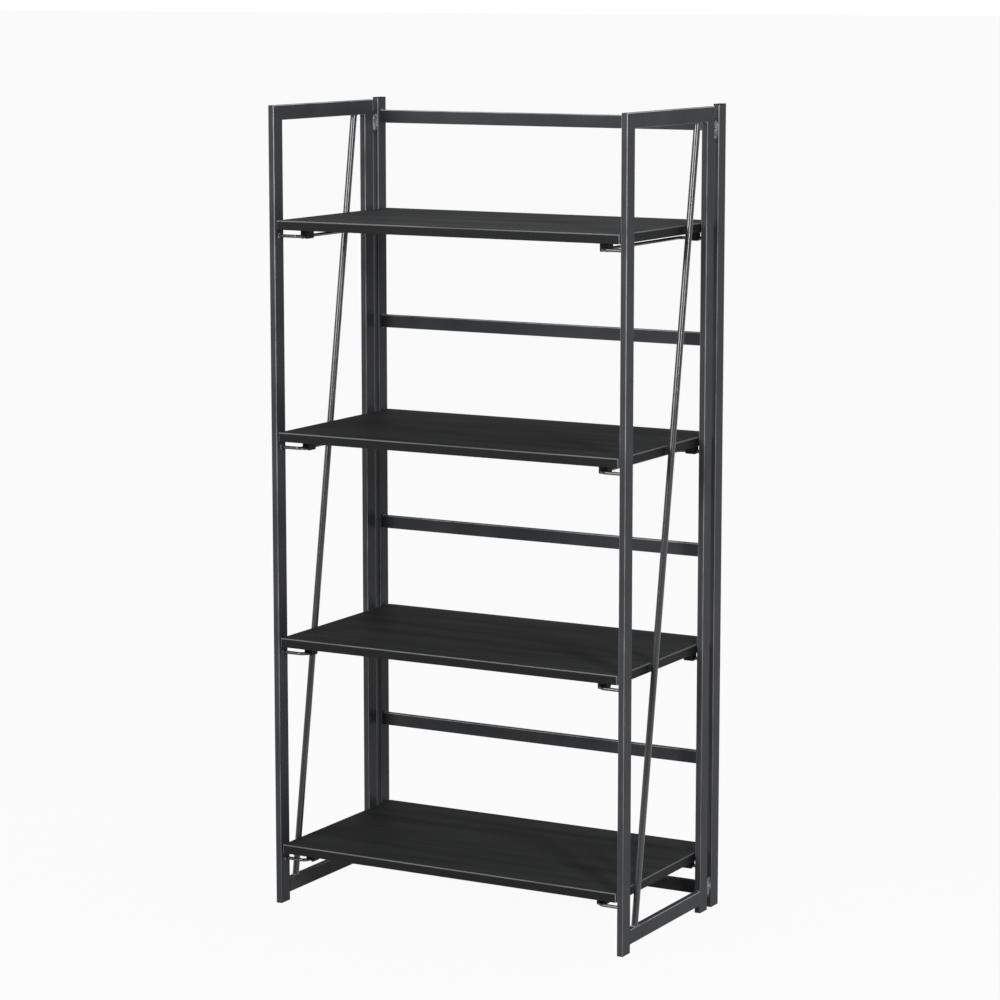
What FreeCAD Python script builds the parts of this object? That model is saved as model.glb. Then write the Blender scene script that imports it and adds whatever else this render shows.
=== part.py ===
"""A folding bookcase: a welded back frame, two side frames hinged to it, and four clip-on shelves.

X runs along the width, Y from the front to the back and Z up. The origin is on the floor, under the
middle of the unfolded bookcase. All lengths are in millimetres.
"""

import os

import FreeCAD, Part
from FreeCAD import Vector

# Overall frame
overall_width = 600.0
side_depth = 287.0
hinge_gap = 14.0
side_height = 1225.0
back_rise = 3.0

# Rectangular tube, rounded along its edges
post_width = 10.0
post_depth = 25.0
tube_wall = 1.2
tube_corner = 1.6

# Rails, with their heights on the frames
side_rail_height = 22.5
side_bottom_rail_lift = 12.0
back_rail_height = 20.0
back_rail_thickness = 10.0
back_rail_count = 5
back_rail_floor_middle = 25.4
back_rail_first_share = 0.1882
back_rail_top_drop = 30.0

# Brace rods in the plane of each side frame
rod_diameter = 10.0
rod_top_inset = 25.0
rod_low_inset = 23.5

# Shelves, the uppermost first, with their upper faces as shares of the side frames' height
shelf_top_shares = (0.8604, 0.5992, 0.3408, 0.0763)
shelf_thickness = 14.0
shelf_side_gap = 2.0
shelf_front_inset = 1.0
shelf_rear_inset = 2.0
edge_band = 1.0
edge_corner = 2.0
edge_ease = 0.7

# Bent wires that carry the shelves
wire_diameter = 5.0
wire_reach = 38.0
wire_bend = 10.5

# Clips under the shelves: a plate, and two jaws that snap over a wire
clip_plate = 2.0
clip_plate_width = 34.0
clip_plate_length = 40.0
clip_plate_corner = 4.0
clip_seat = 7.0
clip_height = 13.5
clip_jaw_width = 14.0
clip_jaw_length = 15.0
clip_jaw_round = 2.0
clip_mouth = 3.4
clip_fit = 0.15
front_clip_inset = 31.0
rear_clip_from_post = 17.0

# Countersunk screws that hold the clips
screw_shank = 3.0
screw_head = 5.6
screw_head_depth = 1.6
screw_length = 13.0
screw_socket = 1.4
screw_socket_depth = 0.9
screw_spread = 22.0
screw_end_inset = 9.0

# Hinges between the back frame and the side frames
barrel_diameter = 8.0
barrel_height = 25.0
barrel_tab = 5.0
low_hinge_middle = 35.0
high_hinge_drop = 35.0
ear_thickness = 3.0
ear_width = 9.0
ear_play = 0.3
pin_diameter = 5.0
pin_fit = 0.05
pin_head_diameter = 7.0
pin_head_height = 1.2

# Plugs in the ends of the posts
plug_cap = 1.5
plug_insert = 12.0
plug_fit = 0.1
plug_wall = 1.5

# Overrun of every cut, also as a share of a mitre, and how near to its axis an edge must lie to run along it
overrun = 1.0
mitre_overrun_share = 0.1
along_share = 0.99

# Places worked out from the sizes above
sides = {"left": -1, "right": 1}
up = Vector(0, 0, 1)
overall_depth = side_depth + hinge_gap + post_depth
back_height = side_height + back_rise
back_rail_first_middle = back_height * back_rail_first_share
back_rail_top_middle = back_height - back_rail_top_drop
back_rail_pitch = (back_rail_top_middle - back_rail_first_middle) / (back_rail_count - 2)
front_y = -overall_depth / 2
rear_post_y = front_y + side_depth - post_depth
back_post_y = front_y + side_depth + hinge_gap
outer_x = overall_width / 2
inner_x = outer_x - post_width
post_middle_x = outer_x - post_width / 2
hinge_y = front_y + side_depth + hinge_gap / 2
hinge_middles = (low_hinge_middle, side_height - high_hinge_drop)
wire_radius = wire_diameter / 2
wire_x = inner_x - wire_reach
wire_front_y = front_y + post_depth / 2
wire_rear_y = rear_post_y + post_depth / 2
wire_drop = clip_seat + clip_fit + wire_radius
shelf_half_width = inner_x - shelf_side_gap
shelf_front_y = front_y + shelf_front_inset
shelf_rear_y = front_y + overall_depth - shelf_rear_inset
rod_low_z = side_bottom_rail_lift + side_rail_height
rod_top_z = side_height - side_rail_height
shelf_numbers = range(1, len(shelf_top_shares) + 1)


def shelf_under(number):
    """Height of a shelf's underside."""
    return side_height * shelf_top_shares[number - 1] - shelf_thickness


def box(x0, x1, y0, y1, z0, z1):
    """A box between two corners."""
    return Part.makeBox(x1 - x0, y1 - y0, z1 - z0, Vector(x0, y0, z0))


def cylinder(diameter, height, x, y, z):
    """An upright cylinder standing on the given point."""
    return Part.makeCylinder(diameter / 2, height, Vector(x, y, z))


def round_along(shape, axis, radius):
    """Round the edges of a bar that run along one axis."""
    edges = [e for e in shape.Edges if abs(e.tangentAt(e.FirstParameter).dot(axis)) > along_share]
    return shape.makeFillet(radius, edges)


def tube(x0, x1, y0, y1, z0, z1, axis):
    """A rectangular tube along one axis, open at both ends."""
    outer = round_along(box(x0, x1, y0, y1, z0, z1), axis, tube_corner)
    inset = Vector(tube_wall, tube_wall, tube_wall) - axis * (tube_wall + overrun)
    low = Vector(x0, y0, z0) + inset
    high = Vector(x1, y1, z1) - inset
    bore = box(low.x, high.x, low.y, high.y, low.z, high.z)
    return outer.cut(round_along(bore, axis, tube_corner - tube_wall))


def tube_x(side):
    """The two X faces of the tubes on one side."""
    return sorted((sides[side] * inner_x, sides[side] * outer_x))


def post(side, y, top):
    """An upright tube that stands on its foot."""
    x0, x1 = tube_x(side)
    return tube(x0, x1, y, y + post_depth, plug_cap, top, up)


def mitre(side, outer_y, inner_y, reach):
    """The waste above (or, for a reach below zero, under) the slanting joint of a post and a top rail."""
    x0, x1 = tube_x(side)
    outer = Vector(x0, outer_y, side_height)
    slant = Vector(x0, inner_y, side_height - side_rail_height) - outer
    start = outer - slant * mitre_overrun_share
    end = outer + slant * (1 + mitre_overrun_share)
    rise = Vector(0, 0, reach)
    outline = Part.makePolygon([start, end, end + rise, start + rise, start])
    return Part.Face(outline).extrude(Vector(x1 - x0, 0, 0))


def top_corners():
    """The outer and inner faces of the posts at the two top corners of a side frame."""
    return {
        "front": (front_y, front_y + post_depth),
        "rear": (rear_post_y + post_depth, rear_post_y),
    }


def foot(side, y):
    """A plastic plug for the lower end of a post: a cap under the tube and a hollow insert in it."""
    x0, x1 = tube_x(side)
    y1 = y + post_depth
    inset = tube_wall + plug_fit
    deep = inset + plug_wall
    cap_plate = round_along(box(x0, x1, y, y1, 0, plug_cap), up, tube_corner)
    insert_top = plug_cap + plug_insert
    insert = box(x0 + inset, x1 - inset, y + inset, y1 - inset, plug_cap, insert_top)
    insert = round_along(insert, up, tube_corner - tube_wall)
    hollow = box(x0 + deep, x1 - deep, y + deep, y1 - deep, plug_cap, insert_top + overrun)
    return cap_plate.fuse(insert).cut(hollow)


def cap(side, y, height):
    """A plastic plug for the upper end of a post: the foot, upside down."""
    x0, x1 = tube_x(side)
    plug = foot(side, y)
    plug.rotate(Vector((x0 + x1) / 2, y + post_depth / 2, 0), Vector(0, 1, 0), 180)
    plug.translate(Vector(0, 0, height))
    return plug


def side_post(side, name):
    """The front or rear post of a side frame, mitred to the top rail."""
    outer_y, inner_y = top_corners()[name]
    waste = mitre(side, outer_y, inner_y, 2 * side_rail_height)
    return post(side, min(outer_y, inner_y), side_height).cut(waste)


def top_rail(side):
    """The level tube along the top of a side frame, mitred to both posts."""
    x0, x1 = tube_x(side)
    low = side_height - side_rail_height
    rail = tube(x0, x1, front_y, rear_post_y + post_depth, low, side_height, Vector(0, 1, 0))
    for outer_y, inner_y in top_corners().values():
        rail = rail.cut(mitre(side, outer_y, inner_y, -2 * side_rail_height))
    return rail


def bottom_rail(side):
    """The level tube between the posts of a side frame, a little above the floor."""
    x0, x1 = tube_x(side)
    low = side_bottom_rail_lift
    return tube(x0, x1, front_y + post_depth, rear_post_y, low, low + side_rail_height, Vector(0, 1, 0))


def back_rail(number):
    """A level tube between the back posts; rail 1 is the uppermost and the last is near the floor."""
    middle = back_rail_first_middle + back_rail_pitch * (back_rail_count - 1 - number)
    if number == back_rail_count:
        middle = back_rail_floor_middle
    y0 = back_post_y + (post_depth - back_rail_thickness) / 2
    z0 = middle - back_rail_height / 2
    y1 = y0 + back_rail_thickness
    return tube(-inner_x, inner_x, y0, y1, z0, z0 + back_rail_height, Vector(1, 0, 0))


def brace_rod(side):
    """The slanting round rod of a side frame, cut level where it meets the rails."""
    x = sides[side] * post_middle_x
    low = Vector(x, front_y + post_depth + rod_low_inset, rod_low_z)
    top = Vector(x, rear_post_y - rod_top_inset, rod_top_z)
    along = (top - low).normalize()
    length = (top - low).Length + 2 * rod_diameter
    rod = Part.makeCylinder(rod_diameter / 2, length, low - along * rod_diameter, along)
    return rod.common(box(x - rod_diameter, x + rod_diameter, front_y, back_post_y, rod_low_z, rod_top_z))


def shelf_wire(side, number):
    """A round wire bent to a wide U, welded to the inner faces of the front and rear posts."""
    sign = sides[side]
    z = shelf_under(number) - wire_drop
    bend_share = 1 - 0.5**0.5
    turn = wire_bend * bend_share

    def at(x, y):
        return Vector(sign * x, y, z)

    start = at(inner_x, wire_front_y)
    front_in, front_out = at(wire_x + wire_bend, wire_front_y), at(wire_x, wire_front_y + wire_bend)
    rear_in, rear_out = at(wire_x, wire_rear_y - wire_bend), at(wire_x + wire_bend, wire_rear_y)
    path = Part.Wire(
        [
            Part.LineSegment(start, front_in).toShape(),
            Part.Arc(front_in, at(wire_x + turn, wire_front_y + turn), front_out).toShape(),
            Part.LineSegment(front_out, rear_in).toShape(),
            Part.Arc(rear_in, at(wire_x + turn, wire_rear_y - turn), rear_out).toShape(),
            Part.LineSegment(rear_out, at(inner_x, wire_rear_y)).toShape(),
        ]
    )
    circle = Part.Wire([Part.makeCircle(wire_radius, start, Vector(-sign, 0, 0))])
    return path.makePipeShell([circle], True, False)


def clip_places():
    """The jaws' middles of a shelf's clips, each with the turn of its channel away from Y."""
    front = front_y + front_clip_inset
    rear_x = inner_x - rear_clip_from_post
    return [
        place
        for sign in sides.values()
        for place in ((sign * wire_x, front, 0), (sign * rear_x, wire_rear_y, sign * 90))
    ]


def placed(shape, place, z):
    """A shape made about the origin, turned and moved to a clip's place at the height z."""
    x, y, turn = place
    shape.rotate(Vector(0, 0, 0), up, turn)
    shape.translate(Vector(x, y, z))
    return shape


def screw_places():
    """The two screws of a clip, near the far end of its plate."""
    y = clip_plate_length - clip_jaw_length / 2 - screw_end_inset
    return [(-screw_spread / 2, y), (screw_spread / 2, y)]


def screw_body(x, y):
    """The outside of a countersunk screw with its head flush with the lower face of a clip's plate."""
    head = Part.makeCone(screw_head / 2, screw_shank / 2, screw_head_depth, Vector(x, y, -clip_plate))
    return head.fuse(cylinder(screw_shank, screw_length, x, y, -clip_plate)).removeSplitter()


def screw(x, y):
    """A countersunk screw with a square socket in its head."""
    half = screw_socket / 2
    low, high = -clip_plate - overrun, screw_socket_depth - clip_plate
    return screw_body(x, y).cut(box(x - half, x + half, y - half, y + half, low, high))


def clip():
    """A plastic clip: a plate against the shelf and two jaws round the wire's channel."""
    half_plate, half_jaws, half_length = clip_plate_width / 2, clip_jaw_width / 2, clip_jaw_length / 2
    plate = box(-half_plate, half_plate, -half_length, clip_plate_length - half_length, -clip_plate, 0)
    plate = round_along(plate, up, clip_plate_corner)
    jaws = box(-half_jaws, half_jaws, -half_length, half_length, -clip_height, -clip_plate)
    outer_edges = [e for e in jaws.Edges if e.BoundBox.ZMax < -clip_plate and e.BoundBox.YLength > 0]
    along = [e for e in outer_edges if e.BoundBox.XLength < overrun]
    jaws = jaws.makeFillet(clip_jaw_round, along)
    end = half_length + overrun
    channel = Part.makeCylinder(
        wire_radius + clip_fit, 2 * end, Vector(0, -end, -wire_drop), Vector(0, 1, 0)
    )
    mouth = box(-clip_mouth / 2, clip_mouth / 2, -end, end, -clip_height - overrun, -wire_drop)
    made = plate.fuse(jaws).removeSplitter().cut(channel.fuse(mouth))
    for x, y in screw_places():
        made = made.cut(screw_body(x, y))
    return made


def shelf_clips(number):
    """The four clips of a shelf."""
    return Part.makeCompound([placed(clip(), place, shelf_under(number)) for place in clip_places()])


def shelf_screws(number):
    """The eight screws of a shelf's clips."""
    under = shelf_under(number)
    return Part.makeCompound(
        [placed(screw(x, y), place, under) for place in clip_places() for x, y in screw_places()]
    )


def shelf_panel(number, inset):
    """A plain panel of a shelf's size, drawn in by the inset along its four edges."""
    under = shelf_under(number)
    half = shelf_half_width - inset
    y0, y1 = shelf_front_y + inset, shelf_rear_y - inset
    return box(-half, half, y0, y1, under, under + shelf_thickness)


def shelf_board(number):
    """The panel inside the edge band, with the screws' holes in its underside."""
    board = shelf_panel(number, edge_band)
    for place in clip_places():
        for x, y in screw_places():
            board = board.cut(placed(screw_body(x, y), place, shelf_under(number)))
    return board


def shelf_edge_band(number):
    """The thin strip round a shelf's four edges, with its corners rounded and its edges eased."""
    outer = round_along(shelf_panel(number, 0), up, edge_corner)
    rims = [e for face in outer.Faces if abs(face.normalAt(0, 0).z) > along_share for e in face.Edges]
    return outer.makeFillet(edge_ease, rims).cut(shelf_panel(number, edge_band))


def hinge_barrels(side):
    """The barrels on one back post, each with the tab that is welded to the post."""
    x = sides[side] * post_middle_x
    bore = pin_diameter + 2 * pin_fit
    bore_length = barrel_height + 2 * overrun
    barrels = []
    for middle in hinge_middles:
        z0, z1 = middle - barrel_height / 2, middle + barrel_height / 2
        tab = box(x - barrel_tab / 2, x + barrel_tab / 2, hinge_y, back_post_y, z0, z1)
        barrel = cylinder(barrel_diameter, barrel_height, x, hinge_y, z0).fuse(tab).removeSplitter()
        barrels.append(barrel.cut(cylinder(bore, bore_length, x, hinge_y, z0 - overrun)))
    return Part.makeCompound(barrels)


def ear_heights(middle):
    """The lower faces of the two ears of a hinge, below and above its barrel."""
    reach = barrel_height / 2 + ear_play
    return (middle - reach - ear_thickness, middle + reach)


def hinge_ears(side):
    """The ears on one side frame's rear post, which hold the hinge pins."""
    x = sides[side] * post_middle_x
    half = ear_width / 2
    hole_length = ear_thickness + 2 * overrun
    ears = []
    for middle in hinge_middles:
        for z in ear_heights(middle):
            plate = box(x - half, x + half, rear_post_y + post_depth, hinge_y, z, z + ear_thickness)
            ear = plate.fuse(cylinder(ear_width, ear_thickness, x, hinge_y, z)).removeSplitter()
            ears.append(ear.cut(cylinder(pin_diameter, hole_length, x, hinge_y, z - overrun)))
    return Part.makeCompound(ears)


def hinge_pins(side):
    """The pins of one side's hinges, fast in the ears and headed at both ends."""
    x = sides[side] * post_middle_x
    pins = []
    for middle in hinge_middles:
        low_ear, high_ear = ear_heights(middle)
        top = high_ear + ear_thickness
        pin = cylinder(pin_diameter, top - low_ear, x, hinge_y, low_ear)
        for z in (low_ear - pin_head_height, top):
            pin = pin.fuse(cylinder(pin_head_diameter, pin_head_height, x, hinge_y, z))
        pins.append(pin.removeSplitter())
    return Part.makeCompound(pins)


def back_frame():
    """Every piece of the fixed back frame, by name."""
    pieces = {"back_post_caps": Part.makeCompound([cap(side, back_post_y, back_height) for side in sides])}
    for side in sides:
        pieces[f"back_{side}_post"] = post(side, back_post_y, back_height - plug_cap)
        pieces[f"back_{side}_foot"] = foot(side, back_post_y)
        pieces[f"{side}_hinge_barrels"] = hinge_barrels(side)
    for number in range(1, back_rail_count + 1):
        pieces[f"back_rail_{number}"] = back_rail(number)
    return pieces


def side_frame(side):
    """Every piece that turns with one side frame, by name."""
    pieces = {
        f"{side}_top_rail": top_rail(side),
        f"{side}_bottom_rail": bottom_rail(side),
        f"{side}_brace_rod": brace_rod(side),
        f"{side}_hinge_ears": hinge_ears(side),
        f"{side}_hinge_pins": hinge_pins(side),
    }
    for name, y in (("front", front_y), ("rear", rear_post_y)):
        pieces[f"{side}_{name}_post"] = side_post(side, name)
        pieces[f"{side}_{name}_foot"] = foot(side, y)
    for number in shelf_numbers:
        pieces[f"{side}_shelf_wire_{number}"] = shelf_wire(side, number)
    return pieces


def shelf(number):
    """Every piece of one shelf, by name."""
    return {
        f"shelf_{number}_board": shelf_board(number),
        f"shelf_{number}_edge_band": shelf_edge_band(number),
        f"shelf_{number}_clips": shelf_clips(number),
        f"shelf_{number}_screws": shelf_screws(number),
    }


def main():
    """Write one STEP file for each named piece."""
    os.makedirs("parts", exist_ok=True)
    pieces = back_frame()
    for side in sides:
        pieces.update(side_frame(side))
    for number in shelf_numbers:
        pieces.update(shelf(number))
    for name, shape in pieces.items():
        shape.exportStep(f"parts/{name}.step")
    print(len(pieces), "pieces")


main()
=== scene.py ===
"""Dress the folding bookcase: finishes for every piece, weld beads, and a pale studio to show it in."""

import math

import bmesh
import bpy
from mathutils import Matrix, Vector


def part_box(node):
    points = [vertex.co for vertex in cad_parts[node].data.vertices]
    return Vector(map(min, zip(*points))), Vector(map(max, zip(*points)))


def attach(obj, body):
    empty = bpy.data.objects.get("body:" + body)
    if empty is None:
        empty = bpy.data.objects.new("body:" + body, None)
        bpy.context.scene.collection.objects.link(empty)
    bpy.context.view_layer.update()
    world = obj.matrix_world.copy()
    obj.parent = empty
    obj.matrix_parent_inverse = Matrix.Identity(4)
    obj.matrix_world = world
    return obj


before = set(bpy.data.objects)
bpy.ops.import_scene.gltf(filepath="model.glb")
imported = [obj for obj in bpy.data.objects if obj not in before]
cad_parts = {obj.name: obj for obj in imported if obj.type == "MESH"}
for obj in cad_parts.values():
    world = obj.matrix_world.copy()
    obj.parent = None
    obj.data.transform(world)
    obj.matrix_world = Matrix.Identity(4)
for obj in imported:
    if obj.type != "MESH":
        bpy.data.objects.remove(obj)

bl_info = {
    "name": "Folding bookcase finishes",
    "version": (1, 0, 0),
    "blender": (4, 2, 0),
    "location": "3D View > Sidebar > Bookcase",
    "description": "Finishes, weld beads and a studio for a folding bookcase",
    "category": "Object",
}

MM = 0.001
SIDES = ("left", "right")
SHELVES = (1, 2, 3, 4)
BACK_RAILS = (1, 2, 3, 4, 5)
BLACK, WHITE = (0, 0, 0), (1, 1, 1)
# material of the weld beads and barrels, pale on the ripples as painted glints
GLINT_COAT = "thin_powder_coat"
ACROSS, BACKWARDS, UPWARDS = Vector((1, 0, 0)), Vector((0, 1, 0)), Vector((0, 0, 1))

# Roughness and index of refraction of each finish; black oxide is a metal and keeps the usual index
COAT_GLOSS = (0.35, 1.15)
ENAMEL_GLOSS = (0.2, 1.7)
BEAD_GLOSS = (0.2, 1.5)
LAMINATE_GLOSS = (0.62, 1.3)
BAND_GLOSS = (0.5, 1.2)
NYLON_GLOSS = (0.6, 1.3)
PLUG_GLOSS = (0.55, 1.3)
OXIDE_GLOSS = (0.4, 1.5)
FLOOR_GLOSS = (0.9, 1.5)

# Where each change of tone starts and ends, from 0 to 1 of what drives it
CLOUD_SPAN = (0.35, 0.75)
CORNER_CLOUD_SPAN = (0.2, 0.6)
ENAMEL_SPAN = (0.3, 0.7)
GLINT_SPAN = (0.4, 0.7)
PORE_SPAN = (0.28, 0.44)
STREAK_SPAN = (0.25, 0.6)
ARRIS_SPAN = (0.1, 0.5)
GRIT_SPAN = (0.4, 0.8)
CORNER_NORMAL_SPAN = (0.8, 0.985)
UPRIGHT_NORMAL_SPAN = (0.1, 0.3)
ARRIS_HIGHLIGHT_HEIGHT_SPAN = (0.86, 0.93)
HIGHLIGHT_HEIGHT_SPAN = (0.0, 0.9)

# How much of the painted corner highlight is left at the foot of a tube, how far pores lift over bands,
# how much longer slow patterns run than quick ones, and how much brighter a paler tone is
HIGHLIGHT_FOOT_SHARE = 0.3
PORE_LIFT = 0.12
SLOW_STRETCH = 3
PALER_BY = 1.5

# Strength of each relief and its depth in millimetres
PEEL_RELIEF = (0.12, 0.3)
DRAWN_RELIEF = (0.05, 0.2)
RIPPLE_RELIEF = (0.1, 0.2)
PORE_RELIEF = (0.25, 0.25)
STREAK_RELIEF = (0.08, 0.15)
GRIT_RELIEF = (0.15, 0.15)

# Detail of the noise in fine, plain and rich patterns, and how rough it is
FINE, PLAIN, RICH = 2.0, 3.0, 4.0
NOISE_ROUGHNESS = 0.55

# Corners round a weld bead, points along a round and a straight one, and points over which an end tapers
BEAD_CORNERS = 10
RING_POINTS = 24
SEAM_POINTS = 14
TAPER_POINTS = 4

# Place, width and height of each lamp, in metres, and the share of the floor that shows as plain white
LAMPS = {
    "key": ((-1.6, -4.4, 2.6), 2.2, 2.2),
    "top": ((0.3, 0.2, 3.4), 1.8, 1.8),
    "edge": ((2.6, -2.0, 2.0), 0.5, 1.5),
}
WHITE_SHARE = 0.95
SENSOR_WIDTH = 36


def linear(hex_colour):
    """An sRGB hex colour as linear red, green and blue."""
    channels = [int(hex_colour[i : i + 2], 16) / 255 for i in (1, 3, 5)]
    return tuple(c / 12.92 if c <= 0.04045 else ((c + 0.055) / 1.055) ** 2.4 for c in channels)


def colour(name, description, hex_colour):
    """A colour property with its default written as sRGB hex."""
    return bpy.props.FloatVectorProperty(
        name=name, description=description, subtype="COLOR", min=0, max=1, default=linear(hex_colour)
    )


def length(name, description, millimetres):
    """A length property with its default in millimetres."""
    return bpy.props.FloatProperty(
        name=name, description=description, subtype="DISTANCE", unit="LENGTH", default=millimetres * MM
    )


class BookcaseFinish(bpy.types.PropertyGroup):
    """Colours and pattern sizes of the finishes."""

    coat: colour("Coat", "Powder coat on the steel", "#393A3D")
    coat_worn: colour("Coat, thin", "Powder coat where it lies thinner", "#434447")
    # painted highlight: a pale tone for the tube corners and the bead ripples, standing in for the light they
    # catch
    coat_highlight: colour("Coat, corners", "Powder coat along the corners of the tubes", "#B4B6B9")
    enamel: colour("Enamel", "Stove enamel on the rods and wires", "#1E1F21")
    coat_peel: length("Coat peel", "Size of the bumps in the powder coat", 3.0)
    coat_cloud: length("Coat cloud", "Size of the slow changes in the coat's tone", 90.0)
    laminate: colour("Laminate", "Ground of the black ash laminate", "#2C2D2E")
    grain: colour("Grain", "Pores and dark streaks of the laminate", "#1C1D1E")
    grain_width: length("Grain width", "Width of one streak of grain", 2.6)
    grain_length: length("Grain length", "Length of one streak of grain", 120.0)
    figure_width: length("Figure width", "Width of the broad bands of the grain", 28.0)
    band: colour("Edge band", "Edge band of the shelves", "#1C1C1D")
    # painted highlight: the pale top and upright corners of the edge band
    arris_highlight: colour("Arris", "Scraped top of the edge band", "#707172")
    nylon: colour("Nylon", "Moulded clips", "#0B0B0C")
    nylon_grit: length("Nylon grit", "Size of the spark-eroded grit on moulded plastic", 2.0)
    plug: colour("Plug", "Moulded plugs in the posts", "#171718")
    oxide: colour("Black oxide", "Hinge pins and screws", "#2B2B2D")


class BookcaseWelds(bpy.types.PropertyGroup):
    """Sizes of the weld beads."""

    bead: length("Bead", "Radius of a weld bead", 1.3)
    tab: length("Tab", "Thickness of a hinge barrel's tab", 5.0)
    barrel: length("Barrel", "Height of a hinge barrel", 25.0)
    hinge: length("Hinge", "Height of a hinge over both its ears", 31.6)
    ripple: length("Ripple", "Spacing of the ripples along a bead", 3.0)
    lift: bpy.props.FloatProperty(
        name="Ripple height", description="Share of the radius", subtype="FACTOR", min=0, max=1, default=0.16
    )


class BookcaseStage(bpy.types.PropertyGroup):
    """The floor, the lamps and the camera."""

    floor: colour("Floor", "The pale floor", "#A8A8A8")
    floor_size: bpy.props.FloatProperty(
        name="Floor size", description="Width of the floor", subtype="DISTANCE", default=240.0
    )
    lens: bpy.props.FloatProperty(
        name="Lens", description="Focal length, mm", subtype="DISTANCE_CAMERA", default=119.08
    )
    azimuth: bpy.props.FloatProperty(
        name="Azimuth",
        description="Camera's turn to the right of the front",
        subtype="ANGLE",
        default=math.radians(28.974),
    )
    elevation: bpy.props.FloatProperty(
        name="Elevation",
        description="Camera's height above level",
        subtype="ANGLE",
        default=math.radians(8.937),
    )
    distance: bpy.props.FloatProperty(
        name="Distance", description="Camera to the aim", subtype="DISTANCE", default=5.0186
    )
    aim: bpy.props.FloatVectorProperty(
        name="Aim",
        description="Point the camera looks at",
        subtype="TRANSLATION",
        default=(0.0026, 0.0047, 0.6299),
    )
    key: bpy.props.FloatProperty(name="Key", description="Power of the key lamp, W", default=180.0)
    top: bpy.props.FloatProperty(name="Top", description="Power of the top lamp, W", default=46.0)
    edge: bpy.props.FloatProperty(name="Edge", description="Power of the tall edge lamp, W", default=60.0)
    sky: bpy.props.FloatProperty(name="Sky", description="Strength of the world's light", default=0.2)


def add(tree, kind, links=None, **settings):
    """Add a node: settings go to its attributes or inputs, links to its inputs from other sockets."""
    made = tree.nodes.new(kind)
    for name, value in settings.items():
        if hasattr(made, name):
            setattr(made, name, value)
        else:
            made.inputs[name.replace("_", " ")].default_value = value
    for name, socket in (links or {}).items():
        tree.links.new(socket, made.inputs[name])
    return made


def new_material(name, gloss, metallic=0.0):
    """A material with one Principled shader; returns the material, its tree and the shader."""
    roughness, ior = gloss
    made = bpy.data.materials.new(name)
    made.use_nodes = True
    tree = made.node_tree
    shader = tree.nodes["Principled BSDF"]
    shader.inputs["Roughness"].default_value = roughness
    shader.inputs["IOR"].default_value = ior
    shader.inputs["Metallic"].default_value = metallic
    return made, tree, shader


def placed_noise(tree, size_x, size_y, size_z, detail=PLAIN):
    """Noise whose patches have the given sizes along the three axes."""
    place = add(tree, "ShaderNodeTexCoord")
    scale = (1 / size_x, 1 / size_y, 1 / size_z)
    scaled = add(tree, "ShaderNodeMapping", {"Vector": place.outputs["Object"]}, Scale=scale)
    return add(
        tree,
        "ShaderNodeTexNoise",
        {"Vector": scaled.outputs["Vector"]},
        Scale=1.0,
        Detail=detail,
        Roughness=NOISE_ROUGHNESS,
    )


def two_tones(tree, factor, low, high, span):
    """A ramp from one colour to another over a span of the factor."""
    ramp = add(tree, "ShaderNodeValToRGB", {"Fac": factor})
    first, last = ramp.color_ramp.elements
    first.position, last.position = span
    first.color, last.color = (*low, 1), (*high, 1)
    return ramp.outputs["Color"]


def bump(tree, shader, height, relief):
    """Bump on a shader from a height socket, with a relief's strength and depth."""
    strength, depth = relief
    made = add(tree, "ShaderNodeBump", {"Height": height}, Strength=strength, Distance=depth * MM)
    tree.links.new(made.outputs["Normal"], shader.inputs["Normal"])


def mixed_tones(tree, factor, low, high):
    """One colour socket where the factor is 0 and another where it is 1."""
    mix = add(tree, "ShaderNodeMix", {"Factor": factor}, data_type="RGBA")
    tree.links.new(low, mix.inputs["A"])
    tree.links.new(high, mix.inputs["B"])
    return mix.outputs["Result"]


def corner_highlight_mask(tree):
    """Mask of the painted corner highlight: one on a tube's upper rounded corners, less below, zero on its
    flats.
    """
    place = add(tree, "ShaderNodeTexCoord")
    sizes = add(tree, "ShaderNodeVectorMath", {0: place.outputs["Normal"]}, operation="ABSOLUTE")
    axes = add(tree, "ShaderNodeSeparateXYZ", {"Vector": sizes.outputs["Vector"]})
    wide = add(tree, "ShaderNodeMath", {0: axes.outputs["X"], 1: axes.outputs["Y"]}, operation="MAXIMUM")
    most = add(tree, "ShaderNodeMath", {0: wide.outputs["Value"], 1: axes.outputs["Z"]}, operation="MAXIMUM")
    corner = two_tones(tree, most.outputs["Value"], WHITE, BLACK, CORNER_NORMAL_SPAN)
    # the painted highlight fades towards the foot of the tube, as the light falls off there
    height = add(tree, "ShaderNodeSeparateXYZ", {"Vector": place.outputs["Generated"]})
    foot = [HIGHLIGHT_FOOT_SHARE] * 3
    highlight_by_height = two_tones(tree, height.outputs["Z"], foot, WHITE, HIGHLIGHT_HEIGHT_SPAN)
    both = add(tree, "ShaderNodeMath", {0: corner, 1: highlight_by_height}, operation="MULTIPLY")
    return both.outputs["Value"]


def upright_corners(tree):
    """One on the rounded upright corners of a board, zero on its faces, read from its own normals."""
    place = add(tree, "ShaderNodeTexCoord")
    axes = add(tree, "ShaderNodeSeparateXYZ", {"Vector": place.outputs["Normal"]})
    slant = add(tree, "ShaderNodeMath", {0: axes.outputs["X"], 1: axes.outputs["Y"]}, operation="MULTIPLY")
    size = add(tree, "ShaderNodeMath", {0: slant.outputs["Value"]}, operation="ABSOLUTE")
    return two_tones(tree, size.outputs["Value"], BLACK, WHITE, UPRIGHT_NORMAL_SPAN)


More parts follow.
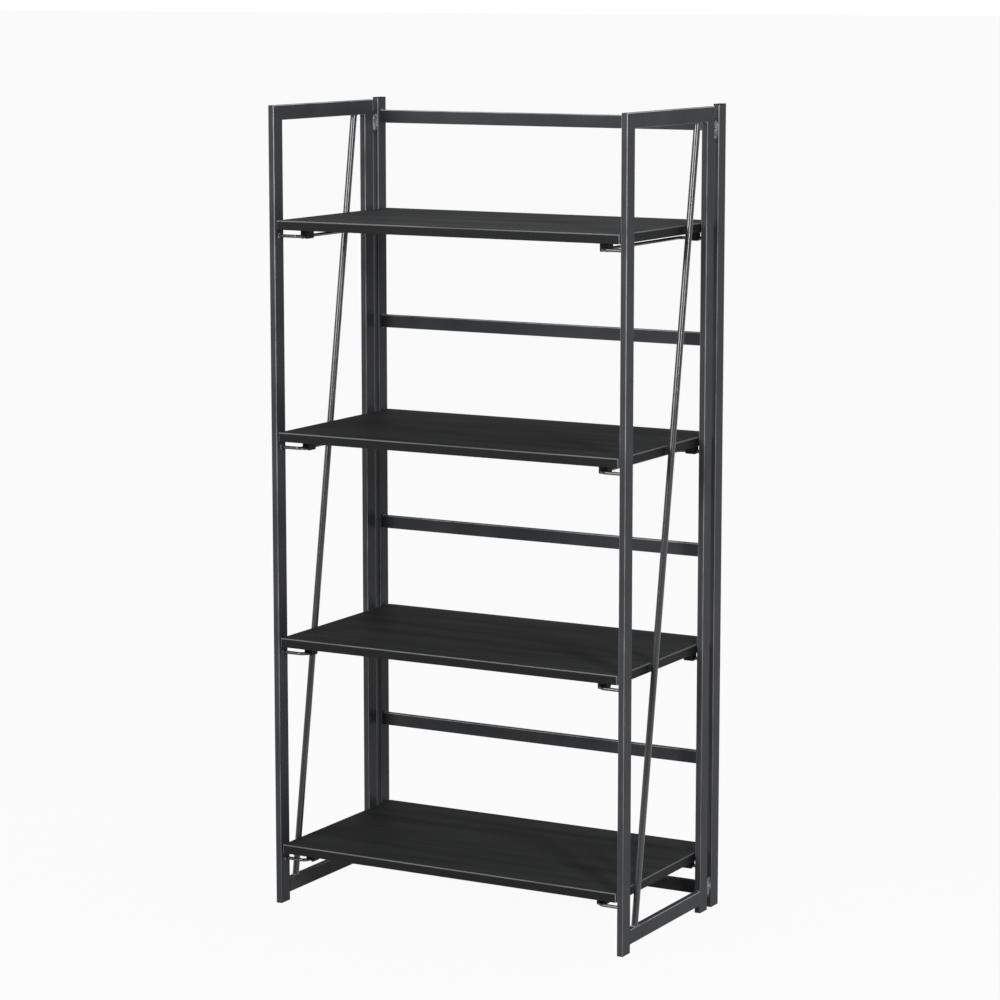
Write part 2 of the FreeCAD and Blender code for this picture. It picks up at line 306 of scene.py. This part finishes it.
def powder_coat(finish, tube):
    """Satin black powder coat, baked on steel: soft highlights, a fine orange peel and slow clouds of tone.

    On tubes the rounded corners are painted pale as a painted highlight, brightest at the top and fading
    towards the foot.
    The peel of a real coat is about 1 mm, too fine for the picture, so it is drawn coarser here.
    """
    name = "powder_coated_tube" if tube else "powder_coated_steel"
    made, tree, shader = new_material(name, COAT_GLOSS)
    clouds = placed_noise(tree, finish.coat_cloud, finish.coat_cloud, finish.coat_cloud)
    tone = two_tones(tree, clouds.outputs["Fac"], finish.coat, finish.coat_worn, CLOUD_SPAN)
    if tube:
        # painted highlight on the rounded corners, brightest at the top
        edge = two_tones(tree, clouds.outputs["Fac"], finish.coat_worn, finish.coat_highlight, CORNER_CLOUD_SPAN)
        tone = mixed_tones(tree, corner_highlight_mask(tree), tone, edge)
    tree.links.new(tone, shader.inputs["Base Color"])
    peel = placed_noise(tree, finish.coat_peel, finish.coat_peel, finish.coat_peel, FINE)
    bump(tree, shader, peel.outputs["Fac"], PEEL_RELIEF)
    return made


def rod_enamel(finish):
    """Stove enamel on drawn rods and wires: darker and smoother than the coat, with a bright line."""
    made, tree, shader = new_material("stove_enamelled_rod", ENAMEL_GLOSS)
    clouds = placed_noise(tree, finish.coat_cloud, finish.coat_cloud, finish.coat_cloud * SLOW_STRETCH)
    tone = two_tones(tree, clouds.outputs["Fac"], finish.enamel, finish.coat, ENAMEL_SPAN)
    tree.links.new(tone, shader.inputs["Base Color"])
    draw = placed_noise(tree, finish.coat_peel, finish.coat_peel, finish.coat_cloud, FINE)
    bump(tree, shader, draw.outputs["Fac"], DRAWN_RELIEF)
    return made


def glint_coat(finish):
    """Powder coat over weld beads and hinge barrels, pale on the ripples as a painted highlight of the glints
    they catch.
    """
    made, tree, shader = new_material(GLINT_COAT, BEAD_GLOSS)
    ripples = placed_noise(tree, finish.coat_peel, finish.coat_peel, finish.coat_peel, FINE)
    tone = two_tones(tree, ripples.outputs["Fac"], finish.coat_worn, finish.coat_highlight, GLINT_SPAN)
    tree.links.new(tone, shader.inputs["Base Color"])
    bump(tree, shader, ripples.outputs["Fac"], RIPPLE_RELIEF)
    return made


def ash_laminate(finish):
    """Black ash melamine laminate: long dark pores along the shelf in broad bands, pressed into the face."""
    made, tree, shader = new_material("black_ash_laminate", LAMINATE_GLOSS)
    pores = placed_noise(tree, finish.grain_length, finish.grain_width, finish.grain_width, RICH)
    band_length = finish.grain_length * SLOW_STRETCH
    bands = placed_noise(tree, band_length, finish.figure_width, finish.figure_width, FINE)
    both = add(
        tree,
        "ShaderNodeMath",
        {0: pores.outputs["Fac"], 1: bands.outputs["Fac"]},
        operation="MULTIPLY_ADD",
    )
    both.inputs[2].default_value = PORE_LIFT
    tone = two_tones(tree, both.outputs["Value"], finish.grain, finish.laminate, PORE_SPAN)
    tree.links.new(tone, shader.inputs["Base Color"])
    bump(tree, shader, both.outputs["Value"], PORE_RELIEF)
    return made


def edge_strip(finish):
    """Extruded PVC edge strip in the laminate's colour: smoother than the face, with a painted highlight
    along its top and upright corners.
    """
    made, tree, shader = new_material("edge_band_pvc", BAND_GLOSS)
    streaks = placed_noise(tree, finish.grain_length, finish.grain_length, finish.grain_width)
    tone = two_tones(tree, streaks.outputs["Fac"], finish.grain, finish.band, STREAK_SPAN)
    place = add(tree, "ShaderNodeTexCoord")
    height = add(tree, "ShaderNodeSeparateXYZ", {"Vector": place.outputs["Generated"]})
    # painted highlight along the band's top and its upright corners
    top_highlight = two_tones(tree, height.outputs["Z"], BLACK, WHITE, ARRIS_HIGHLIGHT_HEIGHT_SPAN)
    arris_highlight = two_tones(tree, streaks.outputs["Fac"], finish.band, finish.arris_highlight, ARRIS_SPAN)
    tone = mixed_tones(tree, top_highlight, tone, arris_highlight)
    tree.links.new(mixed_tones(tree, upright_corners(tree), tone, arris_highlight), shader.inputs["Base Color"])
    bump(tree, shader, streaks.outputs["Fac"], STREAK_RELIEF)
    return made


def paler(tone):
    """A brighter tone of the same colour."""
    return [min(1, c * PALER_BY) for c in tone]


def moulded(name, tone, finish, gloss):
    """Injection moulded nylon or polypropylene: an even, matt, finely gritted skin that hardly shines."""
    made, tree, shader = new_material(name, gloss)
    grit = placed_noise(tree, finish.nylon_grit, finish.nylon_grit, finish.nylon_grit, FINE)
    shade = two_tones(tree, grit.outputs["Fac"], tone, paler(tone), GRIT_SPAN)
    tree.links.new(shade, shader.inputs["Base Color"])
    bump(tree, shader, grit.outputs["Fac"], GRIT_RELIEF)
    return made


def black_oxide(finish):
    """Black oxide on turned steel: dark, dull metal with faint rings of tone."""
    made, tree, shader = new_material("black_oxide_steel", OXIDE_GLOSS, 1.0)
    rings = placed_noise(tree, finish.coat_cloud, finish.coat_cloud, finish.coat_peel, FINE)
    tone = two_tones(tree, rings.outputs["Fac"], finish.oxide, paler(finish.oxide), CLOUD_SPAN)
    tree.links.new(tone, shader.inputs["Base Color"])
    return made


def dress(material, *names):
    """Give CAD nodes a material."""
    for name in names:
        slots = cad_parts[name].data.materials
        slots.clear()
        slots.append(material)


def tube_nodes():
    """The names of the posts and rails."""
    names = [f"back_rail_{n}" for n in BACK_RAILS]
    for side in SIDES:
        names += [f"back_{side}_post"]
        names += [f"{side}_{part}" for part in ("front_post", "rear_post", "top_rail", "bottom_rail")]
    return names


def plate_nodes():
    """The names of the hinge ears."""
    return [f"{side}_hinge_ears" for side in SIDES]


def round_nodes():
    """The names of the drawn rods and wires."""
    parts = ("brace_rod", *(f"shelf_wire_{n}" for n in SHELVES))
    return [f"{side}_{part}" for side in SIDES for part in parts]


def lay_bead(shape, points, closed, sizes):
    """Add a rippled weld bead along a path to a mesh in the making."""
    count = len(points)
    rings = []
    travelled = 0.0
    for i, point in enumerate(points):
        before = points[i - 1] if closed or i else point
        after = points[(i + 1) % count] if closed or i + 1 < count else point
        along = (after - before).normalized()
        across = along.orthogonal().normalized()
        other = along.cross(across)
        from_end = min(i, count - 1 - i) + 1
        taper = 1.0 if closed else math.sin(math.pi / 2 * min(1, from_end / TAPER_POINTS))
        radius = sizes.bead * taper * (1 + sizes.lift * math.sin(math.tau * travelled / sizes.ripple))
        ring = circle_points(point, radius, across, other, BEAD_CORNERS)
        rings.append([shape.verts.new(corner) for corner in ring])
        travelled += (after - point).length
    spans = count if closed else count - 1
    for i in range(spans):
        a, b = rings[i], rings[(i + 1) % count]
        turn = closest_turn(a, b)
        for k in range(BEAD_CORNERS):
            beside = (k + 1) % BEAD_CORNERS
            far, near = b[(beside + turn) % BEAD_CORNERS], b[(k + turn) % BEAD_CORNERS]
            shape.faces.new((a[k], a[beside], far, near))
    if not closed:
        shape.faces.new(rings[0])
        shape.faces.new(rings[-1])


def bead_object(name, paths, closed, sizes, body, material):
    """Weld beads along some paths, as one piece that rides on a body."""
    shape = bmesh.new()
    for points in paths:
        lay_bead(shape, points, closed, sizes)
    bmesh.ops.recalc_face_normals(shape, faces=shape.faces)
    mesh = bpy.data.meshes.new(name)
    shape.to_mesh(mesh)
    shape.free()
    mesh.shade_smooth()
    mesh.materials.append(material)
    made = bpy.data.objects.new(name, mesh)
    bpy.context.scene.collection.objects.link(made)
    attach(made, body)


def closest_turn(a, b):
    """How far ring b is turned against ring a."""
    return min(range(len(b)), key=lambda k: (b[k].co - a[0].co).length)


def circle_points(middle, radius, across, other, count=RING_POINTS):
    """Points round a circle."""
    return [
        middle + (across * math.cos(t) + other * math.sin(t)) * radius
        for t in (math.tau * k / count for k in range(count))
    ]


def seam_points(middle, along, run):
    """Points along a straight seam of the given run."""
    return [middle + along * run * (k / (SEAM_POINTS - 1) - 0.5) for k in range(SEAM_POINTS)]


class BOOKCASE_OT_coat_frame(bpy.types.Operator):
    """Coat the tubes, hinge ears and barrels, and enamel the rods and wires"""

    bl_idname = "bookcase.coat_frame"
    bl_label = "Coat the frame"

    def execute(self, context):
        finish = context.scene.bookcase_finish
        dress(powder_coat(finish, True), *tube_nodes())
        dress(powder_coat(finish, False), *plate_nodes())
        dress(rod_enamel(finish), *round_nodes())
        # the barrels take the bead coat, with its painted glints
        dress(glint_coat(finish), *(f"{side}_hinge_barrels" for side in SIDES))
        return {"FINISHED"}


class BOOKCASE_OT_lay_shelves(bpy.types.Operator):
    """Laminate the boards and band their edges"""

    bl_idname = "bookcase.lay_shelves"
    bl_label = "Laminate the shelves"

    def execute(self, context):
        finish = context.scene.bookcase_finish
        dress(ash_laminate(finish), *(f"shelf_{n}_board" for n in SHELVES))
        dress(edge_strip(finish), *(f"shelf_{n}_edge_band" for n in SHELVES))
        return {"FINISHED"}


class BOOKCASE_OT_mould_plastics(bpy.types.Operator):
    """Finish the moulded clips, feet and caps"""

    bl_idname = "bookcase.mould_plastics"
    bl_label = "Mould the plastics"

    def execute(self, context):
        finish = context.scene.bookcase_finish
        clips = moulded("moulded_nylon", finish.nylon, finish, NYLON_GLOSS)
        dress(clips, *(f"shelf_{n}_clips" for n in SHELVES))
        plugs = moulded("moulded_polypropylene", finish.plug, finish, PLUG_GLOSS)
        dress(plugs, "back_post_caps", *(f"back_{side}_foot" for side in SIDES))
        for side in SIDES:
            dress(plugs, f"{side}_front_foot", f"{side}_rear_foot")
        return {"FINISHED"}


class BOOKCASE_OT_blacken_fasteners(bpy.types.Operator):
    """Blacken the hinge pins and the screws"""

    bl_idname = "bookcase.blacken_fasteners"
    bl_label = "Blacken the fasteners"

    def execute(self, context):
        steel = black_oxide(context.scene.bookcase_finish)
        dress(steel, *(f"{side}_hinge_pins" for side in SIDES), *(f"shelf_{n}_screws" for n in SHELVES))
        return {"FINISHED"}


class BOOKCASE_OT_weld_wires(bpy.types.Operator):
    """Lay weld beads at the ends of the wires and the brace rods"""

    bl_idname = "bookcase.weld_wires"
    bl_label = "Weld the wires and rods"

    def execute(self, context):
        sizes = context.scene.bookcase_welds
        coat = bpy.data.materials[GLINT_COAT]
        for side, sign in zip(SIDES, (-1, 1)):
            for n in SHELVES:
                low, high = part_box(f"{side}_shelf_wire_{n}")
                radius = (high.z - low.z) / 2
                x = high.x if sign > 0 else low.x
                for end, y in (("front", low.y + radius), ("rear", high.y - radius)):
                    middle = Vector((x, y, low.z + radius))
                    ring = circle_points(middle, radius, BACKWARDS, UPWARDS)
                    bead_object(f"weld_{side}_wire_{n}_{end}", [ring], True, sizes, f"{side}_side", coat)
            low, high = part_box(f"{side}_brace_rod")
            thick = high.x - low.x
            x = low.x + thick / 2
            for end, y, z in (("low", low.y, low.z), ("high", high.y - thick, high.z)):
                middles = (Vector((x, y, z)), Vector((x, y + thick, z)))
                paths = [seam_points(middle, ACROSS, thick - 2 * sizes.bead) for middle in middles]
                bead_object(f"weld_{side}_rod_{end}", paths, False, sizes, f"{side}_side", coat)
        return {"FINISHED"}


class BOOKCASE_OT_weld_rails(bpy.types.Operator):
    """Lay weld beads where the rails meet the posts"""

    bl_idname = "bookcase.weld_rails"
    bl_label = "Weld the rails"

    def execute(self, context):
        sizes = context.scene.bookcase_welds
        coat = bpy.data.materials[GLINT_COAT]
        for side in SIDES:
            low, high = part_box(f"{side}_bottom_rail")
            heights = (low.z, high.z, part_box(f"{side}_top_rail")[0].z)
            x, run = (low.x + high.x) / 2, high.x - low.x - 2 * sizes.bead
            middles = [Vector((x, y, z)) for y in (low.y, high.y) for z in heights]
            paths = [seam_points(middle, ACROSS, run) for middle in middles]
            bead_object(f"weld_{side}_rails", paths, False, sizes, f"{side}_side", coat)
        for n in BACK_RAILS:
            low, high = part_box(f"back_rail_{n}")
            y, run = (low.y + high.y) / 2, high.y - low.y - 2 * sizes.bead
            middles = [Vector((x, y, z)) for x in (low.x, high.x) for z in (low.z, high.z)]
            paths = [seam_points(middle, BACKWARDS, run) for middle in middles]
            bead_object(f"weld_back_rail_{n}", paths, False, sizes, "back_frame", coat)
        return {"FINISHED"}


class BOOKCASE_OT_weld_hinges(bpy.types.Operator):
    """Lay weld beads where the hinge barrels and ears meet the posts"""

    bl_idname = "bookcase.weld_hinges"
    bl_label = "Weld the hinges"

    def execute(self, context):
        sizes = context.scene.bookcase_welds
        coat = bpy.data.materials[GLINT_COAT]
        for side in SIDES:
            low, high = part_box(f"{side}_hinge_barrels")
            x, half = (low.x + high.x) / 2, sizes.barrel / 2
            edges = (x - sizes.tab / 2, x + sizes.tab / 2)
            middles = [Vector((e, high.y, z)) for e in edges for z in (low.z + half, high.z - half)]
            paths = [seam_points(middle, UPWARDS, sizes.barrel - 4 * sizes.bead) for middle in middles]
            bead_object(f"weld_{side}_barrels", paths, False, sizes, "back_frame", coat)
            low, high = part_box(f"{side}_hinge_ears")
            heights = (low.z, low.z + sizes.hinge, high.z - sizes.hinge, high.z)
            run = high.x - low.x - 2 * sizes.bead
            paths = [seam_points(Vector((x, low.y, z)), ACROSS, run) for z in heights]
            bead_object(f"weld_{side}_ears", paths, False, sizes, f"{side}_side", coat)
        return {"FINISHED"}


class BOOKCASE_OT_set_stage(bpy.types.Operator):
    """Set the floor, the lamps, the world and the camera"""

    bl_idname = "bookcase.set_stage"
    bl_label = "Set the stage"

    def execute(self, context):
        stage = context.scene.bookcase_stage
        context.scene.view_settings.view_transform = "Standard"
        lay_floor(stage)
        light_world(context.scene, stage)
        aim = Vector(stage.aim)
        for name, (place, wide, tall) in LAMPS.items():
            hang_lamp(name, Vector(place), aim, wide, tall, getattr(stage, name))
        place_camera(context.scene, stage, aim)
        return {"FINISHED"}


def seen_rays(tree):
    """One where the ray comes from the camera, a mirror or a clear surface."""
    path = add(tree, "ShaderNodeLightPath")
    first = add(
        tree,
        "ShaderNodeMath",
        {0: path.outputs["Is Camera Ray"], 1: path.outputs["Is Glossy Ray"]},
        operation="MAXIMUM",
    )
    return add(
        tree,
        "ShaderNodeMath",
        {0: first.outputs["Value"], 1: path.outputs["Is Transmission Ray"]},
        operation="MAXIMUM",
    ).outputs["Value"]


def lay_floor(stage):
    """A wide pale floor that keeps the object's shadow."""
    half = stage.floor_size / 2
    mesh = bpy.data.meshes.new("studio_floor")
    corners = [(-half, -half, 0), (half, -half, 0), (half, half, 0), (-half, half, 0)]
    mesh.from_pydata(corners, [], [(0, 1, 2, 3)])
    floor = bpy.data.objects.new("studio_floor", mesh)
    bpy.context.scene.collection.objects.link(floor)
    made, tree, shader = new_material("studio_floor_paint", FLOOR_GLOSS)
    shader.inputs["Base Color"].default_value = (*stage.floor, 1)
    white = add(tree, "ShaderNodeEmission", Color=(*WHITE, 1), Strength=1.0)
    share = add(tree, "ShaderNodeMath", {0: seen_rays(tree)}, operation="MULTIPLY")
    share.inputs[1].default_value = WHITE_SHARE
    mixed = add(
        tree,
        "ShaderNodeMixShader",
        {0: share.outputs["Value"], 1: shader.outputs["BSDF"], 2: white.outputs["Emission"]},
    )
    tree.links.new(mixed.outputs["Shader"], tree.nodes["Material Output"].inputs["Surface"])
    mesh.materials.append(made)


def light_world(scene, stage):
    """An even sky for light, and white where it is seen."""
    world = bpy.data.worlds.new("studio_world")
    world.use_nodes = True
    tree = world.node_tree
    sky = tree.nodes["Background"]
    sky.inputs["Color"].default_value = (*WHITE, 1)
    sky.inputs["Strength"].default_value = stage.sky
    white = add(tree, "ShaderNodeBackground", Color=(*WHITE, 1), Strength=1.0)
    path = add(tree, "ShaderNodeLightPath")
    mixed = add(
        tree,
        "ShaderNodeMixShader",
        {0: path.outputs["Is Camera Ray"], 1: sky.outputs["Background"], 2: white.outputs["Background"]},
    )
    tree.links.new(mixed.outputs["Shader"], tree.nodes["World Output"].inputs["Surface"])
    scene.world = world


def hang_lamp(name, place, aim, wide, tall, power):
    """A soft oblong lamp turned towards the aim."""
    data = bpy.data.lights.new(name, "AREA")
    data.shape = "RECTANGLE"
    data.size, data.size_y, data.energy = wide, tall, power
    lamp = bpy.data.objects.new(name, data)
    lamp.location = place
    lamp.rotation_euler = (aim - place).to_track_quat("-Z", "Y").to_euler()
    lamp.visible_camera = False
    bpy.context.scene.collection.objects.link(lamp)


def place_camera(scene, stage, aim):
    """The camera at the photograph's viewing angle."""
    data = bpy.data.cameras.new("camera")
    data.lens, data.sensor_width = stage.lens, SENSOR_WIDTH
    camera = bpy.data.objects.new("camera", data)
    level = math.cos(stage.elevation)
    back = Vector(
        (math.sin(stage.azimuth) * level, -math.cos(stage.azimuth) * level, math.sin(stage.elevation))
    )
    camera.location = aim + back * stage.distance
    camera.rotation_euler = (-back).to_track_quat("-Z", "Y").to_euler()
    scene.collection.objects.link(camera)
    scene.camera = camera


class BOOKCASE_PT_panel(bpy.types.Panel):
    """The bookcase's steps and settings"""

    bl_idname = "BOOKCASE_PT_panel"
    bl_label = "Folding bookcase"
    bl_space_type = "VIEW_3D"
    bl_region_type = "UI"
    bl_category = "Bookcase"

    def draw(self, context):
        for step in STEPS:
            self.layout.operator(step.bl_idname)
        for group in SETTINGS:
            settings = getattr(context.scene, group)
            for name in settings.__annotations__:
                self.layout.prop(settings, name)


STEPS = (
    BOOKCASE_OT_coat_frame,
    BOOKCASE_OT_lay_shelves,
    BOOKCASE_OT_mould_plastics,
    BOOKCASE_OT_blacken_fasteners,
    BOOKCASE_OT_weld_wires,
    BOOKCASE_OT_weld_rails,
    BOOKCASE_OT_weld_hinges,
    BOOKCASE_OT_set_stage,
)
SETTINGS = {
    "bookcase_finish": BookcaseFinish,
    "bookcase_welds": BookcaseWelds,
    "bookcase_stage": BookcaseStage,
}


def register():
    """Register the classes and hang the settings on the scene."""
    for cls in (*SETTINGS.values(), *STEPS, BOOKCASE_PT_panel):
        bpy.utils.register_class(cls)
    for name, cls in SETTINGS.items():
        setattr(bpy.types.Scene, name, bpy.props.PointerProperty(type=cls))


def unregister():
    """Undo register."""
    for name in SETTINGS:
        delattr(bpy.types.Scene, name)
    for cls in (BOOKCASE_PT_panel, *reversed(STEPS), *reversed(SETTINGS.values())):
        bpy.utils.unregister_class(cls)


def main():
    """Run every step in order."""
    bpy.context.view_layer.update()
    register()
    bpy.ops.bookcase.coat_frame()
    bpy.ops.bookcase.lay_shelves()
    bpy.ops.bookcase.mould_plastics()
    bpy.ops.bookcase.blacken_fasteners()
    bpy.ops.bookcase.weld_wires()
    bpy.ops.bookcase.weld_rails()
    bpy.ops.bookcase.weld_hinges()
    bpy.ops.bookcase.set_stage()


if __name__ == "__main__":
    main()
